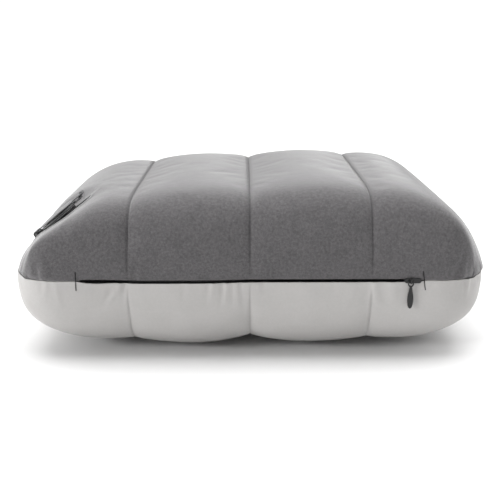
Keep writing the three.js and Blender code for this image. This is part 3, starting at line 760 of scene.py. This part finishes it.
def inflated(side, s_values, t_values):
    """Displacement of the panel at (s, t) stations once air pressure has filled its spare fabric."""
    s, t = panel_stations(side, SIM_SPACING)
    grid_s, grid_t = np.meshgrid(s, t)
    points, normal = panel_shape(side, grid_s, grid_t)
    rows, columns = grid_s.shape
    noise = np.random.RandomState(5 + side).uniform(-0.12, 0.12, (rows, columns)) * MM
    pinned = (np.abs(grid_s) == 1) | (np.abs(grid_t) == 1) | (seam_distance(grid_s) < 0.5 * MM)
    if side > 0:
        pinned |= port_reach(points) < 1.25
    noise[pinned] = 0
    start = points + normal * noise[..., None]
    mesh = bpy.data.meshes.new("inflate")
    mesh.from_pydata(start.reshape(-1, 3).tolist(), [], grid_faces(rows, columns, side < 0).tolist())
    piece = link("inflate", mesh)
    held = piece.vertex_groups.new(name="held")
    held.add(np.flatnonzero(pinned.ravel()).tolist(), 1.0, "REPLACE")
    gather = piece.vertex_groups.new(name="gather")
    for index, weight in enumerate(bell(points[..., 2].ravel() - SEAM_Z, GATHER_WIDTH)):
        gather.add([index], float(weight), "REPLACE")
    cloth = piece.modifiers.new("cloth", "CLOTH")
    for key, value in CLOTH.items():
        setattr(cloth.settings, key, value)
    cloth.settings.effector_weights.gravity = 0
    cloth.collision_settings.use_collision = False
    cloth.point_cache.frame_end = SIM_FRAMES
    for number in range(1, SIM_FRAMES + 1):
        scene.frame_set(number)
    graph = bpy.context.evaluated_depsgraph_get()
    evaluated = piece.evaluated_get(graph).to_mesh()
    after = np.empty(rows * columns * 3)
    evaluated.vertices.foreach_get("co", after)
    scene.frame_set(1)
    bpy.data.objects.remove(piece)
    moved = after.reshape(rows, columns, 3) - points
    moved *= np.minimum(1, SIM_CAP / np.maximum(lengths(moved), 1e-9))
    for axis in (0, 1):
        moved = (np.roll(moved, 1, axis) + 2 * moved + np.roll(moved, -1, axis)) / 4
        moved[pinned] = 0
    at_rows = np.interp(t_values, t, np.arange(rows))
    at_columns = np.interp(s_values, s, np.arange(columns))
    return resample(moved, at_rows, at_columns)


def panel_stations(side, step, kept=()):
    s = stations(ACROSS[side], HALF_WIDTH, RISE[side], step * ACROSS_STEP, [0.5, *kept])
    return s, stations(ALONG[side], HALF_DEPTH, RISE[side], step)


def panel_shape(side, s, t):
    """Shape of the panel before inflation: skin, creases along the channels and the dish at the port."""
    points = skin(side, s, t, 0)
    full = fullness(side, s, t)
    depth = channel_crease(side, s, full)
    if side < 0:
        depth = depth - belly(s, t) - seam_ridge(s) * smooth_step(0.02, 0.2, full)
    points = points - grid_normals(points, side < 0) * depth[..., None]
    if side > 0:
        points = draw_in_port(points)
    return points, grid_normals(points, side < 0)


walls = {}  # front half of each panel's outside, which the bartacks lie on
port_points = []  # the port's edge, which its binding follows


def cover_panel(name, side, thickness, material, slot):
    s_values, t_values = panel_stations(side, FINE, SEAM_SIDES)
    s, t = np.meshgrid(s_values, t_values)
    outer, normal = panel_shape(side, s, t)
    ease = 1 - bell(seam_distance(s), SEAM_EASE)
    outer = outer + ease[..., None] * inflated(side, s_values, t_values)
    folds = PUCKERS[side] * puckers(side, outer, normal)
    if side > 0:
        folds *= smooth_step(1.1, 1.6, port_reach(outer))
    outer = outer + normal * folds[..., None]
    if side < 0:
        outer[..., 2] = np.maximum(outer[..., 2], 0)
    full = fullness(side, s, t)
    inwards = normal * np.where([False, False, True], smooth_step(0, 0.15, full)[..., None], 1)
    outer = sagging_seam(side, rounded_lip(outer, side))
    walls[side] = outer[:len(outer) // 2].copy()
    inner = outer - inwards * thickness
    inner[..., 2] = np.where(full == 0, outer[..., 2], inner[..., 2])
    uv = arc_lengths(skin(side, s, t, 0))
    faces = grid_faces(*s.shape, side < 0)
    outer, inner = outer.reshape(-1, 3), inner.reshape(-1, 3)
    if side > 0:
        edge, faces = open_oval(outer, inner, faces, port_reach(outer))
        port_points.append(outer[edge])
    # mask for the painted shade in the seam creases and the darker stitch line
    seam = bell(seam_distance(s), STITCH_WIDTH) * smooth_step(0, 0.1, full)
    piece = closed_shell(name, outer, inner, faces, uv.reshape(-1, 2), seam.ravel())
    finish_piece(piece, material, "root", slot, name + "_panel")


def open_oval(outer, inner, faces, reach):
    """Drops the faces inside an oval, where reach is below 1, and draws the edge onto it."""
    inside = reach[faces].mean(1) < 1
    edge = np.intersect1d(faces[inside], faces[~inside])
    for points in (outer, inner):
        place = in_valve_frame(points[edge])
        place[:, :2] /= reach[edge][:, None]
        points[edge] = from_valve_frame(place)
    return edge, faces[~inside]


BINDING_STEPS = 160
BINDING_HALF = 1.5 * MM  # half its width
BINDING_RISE = 1.1 * MM  # half its thickness


def port_binding():
    """Folded lip sewn round the port's edge."""
    local = in_valve_frame(port_points[0])
    angle = np.arctan2(local[:, 1] / PORT_W, local[:, 0] / PORT_U)
    order = np.argsort(angle)
    even = np.linspace(-math.pi, math.pi, BINDING_STEPS, endpoint=False)
    height = np.interp(even, angle[order], local[order, 2], period=TURN)
    height = np.convolve(np.concatenate([height[-4:], height, height[:4]]), np.ones(9) / 9, "valid")
    path = from_valve_frame(np.stack([PORT_U * np.cos(even), PORT_W * np.sin(even), height], -1))
    section = round_section(BINDING_HALF, 16, BINDING_RISE, -0.1 * MM)
    piece = swept("port_binding", path, section, VALVE_N, closed=True)
    finish_piece(piece, BINDING, "root", "binding", "valve_port_binding")


# ---- Bladder ----

FLANGE_LEVEL = -8.6 * MM  # top of the valve's flange, in its own frame
FLANGE_RADIUS = 29 * MM
FLANGE_SPREAD = 0.6


def flange_reach(points):
    return oval_reach(points, FLANGE_RADIUS, FLANGE_RADIUS)


def bladder_sheet(name, side, node):
    """Film skin of the bladder, whose upper one dishes in to meet the valve's flange."""
    s, t = np.meshgrid(stations(ACROSS[side], HALF_WIDTH, RISE[side], COARSE, [0.5]),
                       stations(ALONG[side], HALF_DEPTH, RISE[side], COARSE))
    outer = skin(side, s, t, BLADDER_INSET)
    inner = skin(side, s, t, BLADDER_INSET + BLADDER_SHEET)
    faces = grid_faces(*s.shape, side < 0)
    outer, inner = outer.reshape(-1, 3), inner.reshape(-1, 3)
    if side > 0:
        outer = dished(outer, FLANGE_LEVEL, flange_reach(outer), FLANGE_SPREAD)
        inner = dished(inner, FLANGE_LEVEL - BLADDER_SHEET, flange_reach(inner), FLANGE_SPREAD)
        faces = open_oval(outer, inner, faces, flange_reach(outer))[1]
    piece = closed_shell(name, outer, inner, faces)
    finish_piece(piece, FILM, "root", "bladder_film", node)


# ---- Zip ----

FRONT_Y = -HALF_DEPTH
COIL_PITCH = 1.25 * MM
COIL_STEPS = 10  # points per turn
COIL_WIRE = 0.28 * MM  # radius of the nylon
TACK_WIRE = 0.22 * MM  # and of the bartacks' thread
TACK_ROWS = 34


def round_section(radius, sides, height=None, lift=0):
    """Round or oval section of a swept tube."""
    turn = np.linspace(0, TURN, sides, endpoint=False)
    return np.stack([radius * np.cos(turn), (height or radius) * np.sin(turn) + lift], -1)


def zip_coil(name, side, node):
    """Row of nylon coil: a flattened helix whose turns show as teeth."""
    low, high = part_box(node)
    middle, half = (low + high) / 2, (high - low) / 2
    turns = int((high.x - low.x) / COIL_PITCH)
    angle = np.linspace(0, TURN * turns, turns * COIL_STEPS + 1)
    path = np.stack([
        low.x + 0.4 * MM + COIL_PITCH * angle / TURN,
        middle.y + (half.y - 0.25 * MM) * np.cos(angle),
        middle.z + side * (half.z - 0.12 * MM) * np.sin(angle),
    ], -1)
    path[:, 2] -= seam_sag(path[:, 0])
    piece = swept(name, path, round_section(COIL_WIRE, 6), (1, 0, 0))
    finish_piece(piece, COIL, "root", "zip_coil", node)


def zip_tape(name, node):
    """Woven tape behind the slit, slightly wavy along its length."""
    low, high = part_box(node)
    x = np.linspace(low.x, high.x, 160)
    z = np.linspace(low.z, high.z, 7)
    grid_x, grid_z = np.meshgrid(x, z)
    wave = 0.12 * MM * np.sin(grid_x / (9 * MM)) * (0.3 + np.abs(grid_z - SEAM_Z) / (10 * MM))
    front = np.stack([grid_x, low.y + 0.1 * MM + wave, grid_z - seam_sag(grid_x)], -1).reshape(-1, 3)
    back = front + [0, 0.4 * MM, 0]
    piece = closed_shell(name, front, back, grid_faces(len(z), len(x)))
    finish_piece(piece, TAPE, "root", "zip_tape", node)


PLATES = ((-1.3, -0.3), (2.4, 3.1))  # front and back plate of the slider, in mm behind the seam's front
PLATE_RADIUS = 2.3
PLATE_REACH = 5.2  # from the slider's middle to the centre of each round end
WEB = {"from": 4, "to": 6.5, "front": -0.6, "back": 2.8, "half": 0.25}
BRIDGE = {"behind": 2, "reach": 2.7, "half": 2.1, "bar": 0.8}


def slider():
    """Two round-ended plates joined by a web, with a bridge in front that holds the pull."""
    low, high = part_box("zip_slider_body")
    middle = (low.x + high.x) / 2 / MM
    front = FRONT_Y / MM
    seam = SEAM_Z / MM
    bm = bmesh.new()
    for near, far in PLATES:
        near, far = front + near, front + far
        for end in (middle - PLATE_REACH, middle + PLATE_REACH):
            add_rod(bm, PLATE_RADIUS, (end, near, seam), (end, far, seam))
        add_block(bm, (middle - PLATE_REACH, near, seam - PLATE_RADIUS),
                  (middle + PLATE_REACH, far, seam + PLATE_RADIUS))
    add_block(bm, (middle + WEB["from"], front + WEB["front"], seam - WEB["half"]),
              (middle + WEB["to"], front + WEB["back"], seam + WEB["half"]))
    bar, half = BRIDGE["bar"], BRIDGE["half"]
    left, right = middle - BRIDGE["behind"] - bar, middle - BRIDGE["behind"] + bar
    reach = front + PLATES[0][0] - BRIDGE["reach"]
    add_block(bm, (left, reach, seam - half), (right, reach + bar, seam + half))
    for way in (-1, 1):
        heights = sorted((seam + way * half, seam + way * (half - bar)))
        add_block(bm, (left, reach, heights[0]), (right, front - bar, heights[1]))
    look = (ENAMEL, "slider", "zip_metal", "zip_slider_body")
    moulded("zip_slider", bm, 0.16, look, passes=4, keep=0.5)


PULL_LENGTH = 26.0
PULL_HALF = 2.7  # half its width
NECK_HALF = 1.15
EYE_WIRE = 1.2
EYE_WINDOW = 3.4
WIDEST = 0.55  # where the drop is widest, along its length
PULL_STEPS = 40
PULL_SIDES = 24


def pull():
    """Drop-shaped enamelled pull with a domed face and an eye at its top."""
    bm = bmesh.new()
    radius = EYE_WIRE / 2
    eye_half = PULL_HALF - radius
    eye_low = radius - EYE_WIRE * 1.5 - EYE_WINDOW
    eye_neck = NECK_HALF - 0.05
    right = [(eye_neck, 0), (eye_half, -0.6), (eye_half, eye_low + 1.2), (eye_neck, eye_low)]
    corners = right[1:] + [(-x, z) for x, z in right[::-1]] + right[:1]
    for (x0, z0), (x1, z1) in zip(corners, corners[1:] + corners[:1]):
        add_rod(bm, radius, (x0, 0, z0), (x1, 0, z1), 20)
        bmesh.ops.create_uvsphere(bm, u_segments=16, v_segments=10, radius=radius * MM,
                                  matrix=Matrix.Translation(Vector((x0, 0, z0)) * MM))
    start, end = eye_low + 0.4, radius - PULL_LENGTH
    rings = []
    for f in (k / PULL_STEPS for k in range(PULL_STEPS + 1)):
        if f < WIDEST:
            width = NECK_HALF + (PULL_HALF - NECK_HALF) * smooth_step(0, WIDEST, f)
        else:
            width = max(PULL_HALF * (1 - ((f - WIDEST) / (1 - WIDEST)) ** 2.6) ** 0.5, 0.05)
        thick = (0.5 + 0.45 * min(1, width / PULL_HALF)) * min(1, width)
        z = start + (end - start) * f
        rings.append([bm.verts.new(Vector((width * math.cos(a), thick * math.sin(a), z)) * MM)
                      for a in (TURN * k / PULL_SIDES for k in range(PULL_SIDES))])
    for low, high in zip(rings, rings[1:]):
        for k in range(PULL_SIDES):
            after = (k + 1) % PULL_SIDES
            bm.faces.new((low[k], low[after], high[after], high[k]))
    bm.faces.new(rings[0][::-1])
    bm.faces.new(rings[-1])
    place = Matrix.Translation(Vector(joints["pull_swing"]["pos_m"]))
    moulded("zip_pull", bm, 0.16, (ENAMEL, "pull", "zip_metal", "zip_pull_tab"), place, passes=3, keep=0.5)


def fabric_front(x, z):
    """How far forward the cover stands at a place along and up its front wall."""
    wall = walls[1 if z > SEAM_Z else -1]
    column = wall[:, np.abs(wall[0, :, 0] - x).argmin()]
    height = np.abs(column[:, 2] - SEAM_Z)
    order = np.argsort(height)
    return np.interp(abs(z - SEAM_Z), height[order], column[order, 1])


def bartack(name, node, lean):
    """Tight bundle of zigzag thread across the end of the zip, upright or leaning."""
    low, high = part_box(node)
    x = (low.x + high.x) / 2
    path = []
    for k in range(TACK_ROWS * 2 + 1):
        way = 1 if k % 2 else -1
        z = low.z + (high.z - low.z) * k / (TACK_ROWS * 2)
        across = x + way * 0.35 * MM - lean * (z - SEAM_Z)
        path.append((across, min(fabric_front(x, z), FRONT_Y + 0.4 * MM) - 0.25 * MM, z))
    piece = swept(name, path, round_section(TACK_WIRE, 8), (0, 1, 0))
    finish_piece(piece, THREAD, "root", "thread", node)


def zip_stop(name, node):
    low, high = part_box(node)
    bm = bmesh.new()
    add_block(bm, [value / MM for value in low], [value / MM for value in high])
    moulded(name, bm, 0.12, (ENAMEL, "root", "zip_metal", node), passes=3)


# ---- Valve ----

HINGE = (HINGE_U / MM, HINGE_N / MM)  # in mm, like all that follows
KNUCKLE_RADIUS = 2.8
LID_KNUCKLE = 2.2  # half its length
CAP_KNUCKLES = (2.7, 5.0)  # from and to, on both sides
LUGS = (5.5, 7.7)
PIN = {"radius": 1.2, "half": 8}
TAB = {"half": 5.5, "round": 3.0, "root": 3, "bead_inset": 1.9, "bead_half": 4}

# Turned profiles as (radius, height)
CUP_PROFILE = [(13, -10.2), (24, -10.2), (24.8, -9.4), (29, -9.4), (29, -8.6), (24, -8.6), (23.2, -9.4),
               (17.5, -9.4), (17.5, -4.5), (13, -4.5)]
LID_PROFILE = [(8, -7), (12.4, -7), (12.4, -3.2), (20.5, -3.2), (20.5, -1.5), (8, -1.5), (8, -3.7),
               (6.5, -3.7), (6.5, -4.9), (8, -4.9)]
HUB_PROFILE = [(1.3, -4.9), (2.6, -4.9), (2.6, -3.7), (1.3, -3.7)]
CAP_PROFILE = [(0, -0.6), (6.2, -0.6), (6.2, -2.1), (7.6, -2.1), (7.6, -0.6), (21, -0.6), (21.5, -0.1),
               (21.1, 0.6), (19.5, 0.95), (16, 1.4), (9, 1.9), (0, 2.1)]
SOFT_PARTS = (  # name, body, node and profile
    ("lid_seal", "inner_lid", "valve_inner_seal", [(13.6, -4.2), (17.5, -4.2), (17.5, -3.5), (13.6, -3.5)]),
    ("cap_seal", "outer_cap", "valve_outer_seal", [(9.5, -1.2), (13, -1.2), (13, -0.9), (9.5, -0.9)]),
    ("diaphragm", "diaphragm", "valve_diaphragm",
     [(0, -5.8), (7.6, -5.8), (7.6, -5.2), (1, -5.2), (1, -2.6), (1.9, -2.6), (1.9, -2.2), (0, -2.2)]),
)


def hinge_rod(bm, radius, near, far):
    add_rod(bm, radius, (HINGE[0], near, HINGE[1]), (HINGE[0], far, HINGE[1]))


def knuckle(bm, near, far, arm_to, bottom, top):
    hinge_rod(bm, KNUCKLE_RADIUS, near, far)
    add_block(bm, (HINGE[0], near, bottom), (arm_to, far, top))


def grip_tab(bm, start, end, bottom, top, bead):
    """Flat tab with rounded corners and a bead across its end to catch a finger."""
    half, radius = TAB["half"], TAB["round"]
    start -= TAB["root"]
    add_block(bm, (start, -half, bottom), (end - radius, half, top))
    add_block(bm, (start, radius - half, bottom), (end, half - radius, top))
    for way in (-1, 1):
        centre = (end - radius, way * (half - radius))
        add_rod(bm, radius, (*centre, bottom), (*centre, top))
    crest = end - TAB["bead_inset"]
    add_rod(bm, bead, (crest, -TAB["bead_half"], top), (crest, TAB["bead_half"], top))


def valve_base():
    bm = bmesh.new()
    turned(bm, CUP_PROFILE)
    for way in (-1, 1):
        near, far = sorted(way * place for place in LUGS)
        add_block(bm, (HINGE[0] - KNUCKLE_RADIUS, near, -8.9), (HINGE[0] + KNUCKLE_RADIUS, far, HINGE[1]))
        hinge_rod(bm, KNUCKLE_RADIUS, near, far)
    # the cup's near-black colour is painted shade in the pocket under the lids
    moulded("valve_base", bm, 0.32, (CUP_PAINTED_SHADE, "root", "valve_plastic", "valve_base_cup"), VALVE_PLACE)

    bm = bmesh.new()
    hinge_rod(bm, PIN["radius"], -PIN["half"], PIN["half"])
    look = (PLASTIC, "root", "valve_plastic", "valve_hinge_pin")
    moulded("valve_pin", bm, 0.2, look, VALVE_PLACE, passes=3)


def valve_lid():
    """Inner lid: plug, spokes that guide the one-way disc, knuckle and tab."""
    bm = bmesh.new()
    turned(bm, LID_PROFILE)
    for k in range(3):
        x, y = 7 * math.cos(math.pi * k / 3), 7 * math.sin(math.pi * k / 3)
        add_rod(bm, 0.75, (x, y, -4.3), (-x, -y, -4.3), 16)
    turned(bm, HUB_PROFILE, 32)
    knuckle(bm, -LID_KNUCKLE, LID_KNUCKLE, -19.5, -3.2, -1.5)
    grip_tab(bm, 20.5, 29, -3.2, -2.1, 1.4)
    look = (PLASTIC, "inner_lid", "valve_plastic", "valve_inner_lid")
    moulded("valve_lid", bm, 0.3, look, VALVE_PLACE, passes=4)


def valve_cap():
    """Outer cap: domed disc with a ridge and a bead on its tab."""
    bm = bmesh.new()
    turned(bm, CAP_PROFILE)
    for way in (-1, 1):
        near, far = sorted(way * place for place in CAP_KNUCKLES)
        knuckle(bm, near, far, -20, -0.6, 0.6)
    grip_tab(bm, 21.5, 33, -0.6, 0.6, 1.9)
    add_rod(bm, 0.9, (25.5, -3.6, 0.6), (25.5, 3.6, 0.6))
    look = (PLASTIC, "outer_cap", "valve_plastic", "valve_outer_cap")
    moulded("valve_cap", bm, 0.3, look, VALVE_PLACE, passes=4)


def valve_soft_parts():
    for name, body, node, profile in SOFT_PARTS:
        bm = bmesh.new()
        turned(bm, profile)
        mesh = fill_mesh(bpy.data.meshes.new(name), bm)
        mesh.transform(VALVE_PLACE)
        shade_smooth(mesh, math.radians(40))
        finish_piece(link(name, mesh), SILICONE, body, "seal", node)


# ---- Stage ----

LAMPS = {  # energy, spread, tilt from behind and tilt from the side, in degrees
    "overhead": (3.45, 65, -16, 0),
    "left": (1.6, 70, -16, -50),
    "right": (1.6, 70, -16, 50),
    "front": (1.7, 14, 22, -70),
}
SKY = 0.05
FLOOR = 0.80
FLOOR_RADIUS = 14.0
FLOOR_SIDES = 96
FLOOR_DROP = 0.2 * MM  # keeps the floor out of the fabric that rests on it
BACKDROP_HEIGHT = 2.2
BACKDROP_GLOW = 1.05
EYE = (-0.0061, -HALF_DEPTH - 0.6917, 0.2919)
PITCH, YAW = 0.2664, 0.0085  # how far the camera looks down and to the right, in radians
LENS = 59.4432  # mm


def stage():
    """Round pale floor, with a low glowing white backdrop all round its far edge."""
    ring = [(FLOOR_RADIUS * math.cos(a), FLOOR_RADIUS * math.sin(a))
            for a in (TURN * k / FLOOR_SIDES for k in range(FLOOR_SIDES))]
    floor_mesh = bpy.data.meshes.new("floor")
    floor_mesh.from_pydata([(x, y, -FLOOR_DROP) for x, y in ring], [], [list(range(FLOOR_SIDES))])
    m = Nodes("floor_white")
    tone = m.noise(3, 2, 0.5)
    m.set(Base_Color=m.ramp(tone, grey(FLOOR * 0.99), grey(FLOOR * 1.01)))
    m.set(Roughness=m.range(tone, 0.75, 0.85), Specular_IOR_Level=0.1)
    floor_mesh.materials.append(m.material)
    link("floor", floor_mesh)

    backdrop_mesh = bpy.data.meshes.new("backdrop")
    points = [(x, y, z) for z in (-FLOOR_DROP, BACKDROP_HEIGHT) for x, y in ring]
    index = np.arange(2 * FLOOR_SIDES).reshape(2, FLOOR_SIDES)
    backdrop_mesh.from_pydata(points, [], quads(np.concatenate([index, index[:, :1]], 1)).tolist())
    m = Nodes("backdrop_white")
    m.set(Base_Color=(0, 0, 0, 1), Emission_Color=(1, 1, 1, 1), Emission_Strength=BACKDROP_GLOW)
    backdrop_mesh.materials.append(m.material)
    backdrop = link("backdrop", backdrop_mesh)
    backdrop.visible_shadow = False


def lights():
    world = bpy.data.worlds.new("studio")
    scene.world = world
    world.use_nodes = True
    background = world.node_tree.nodes["Background"]
    background.inputs["Color"].default_value = (1, 1, 1, 1)
    background.inputs["Strength"].default_value = SKY
    for name, (energy, spread, back, side) in LAMPS.items():
        sun = bpy.data.lights.new(name, "SUN")
        sun.energy = energy
        sun.angle = math.radians(spread)
        link(name, sun).rotation_euler = (math.radians(back), math.radians(side), 0)


def camera():
    """Long lens from in front, looking down at the zip."""
    data = bpy.data.cameras.new("camera")
    data.sensor_width = 36
    data.lens = LENS
    data.clip_start = 0.01
    eye = link("camera", data)
    eye.location = EYE
    eye.rotation_euler = (math.pi / 2 - PITCH, 0, -YAW)
    scene.camera = eye
    scene.view_settings.view_transform = "Standard"


camera()
lights()
stage()
cover_panel("cover_top", 1, TOP_FABRIC, FLEECE, "top_fleece")
cover_panel("cover_bottom", -1, BOTTOM_FABRIC, KNIT, "bottom_fabric")
port_binding()
bladder_sheet("bladder_top", 1, "bladder_top_sheet")
bladder_sheet("bladder_bottom", -1, "bladder_bottom_sheet")
for side, place in ((1, "upper"), (-1, "lower")):
    zip_tape(f"tape_{place}", f"zip_tape_{place}")
    zip_coil(f"coil_{place}", side, f"zip_coil_{place}")
slider()
pull()
for place, lean in (("left", 0.0), ("right", 0.15)):
    bartack(f"bartack_thread_{place}", f"bartack_{place}", lean)
    zip_stop(f"stop_{place}", f"zip_stop_{place}")
valve_base()
valve_lid()
valve_cap()
valve_soft_parts()
for name in ("baffle_left", "baffle_centre", "baffle_right"):
    node = frame["nodes"][name]
    node.data.materials.clear()
    node.data.materials.append(FILM)
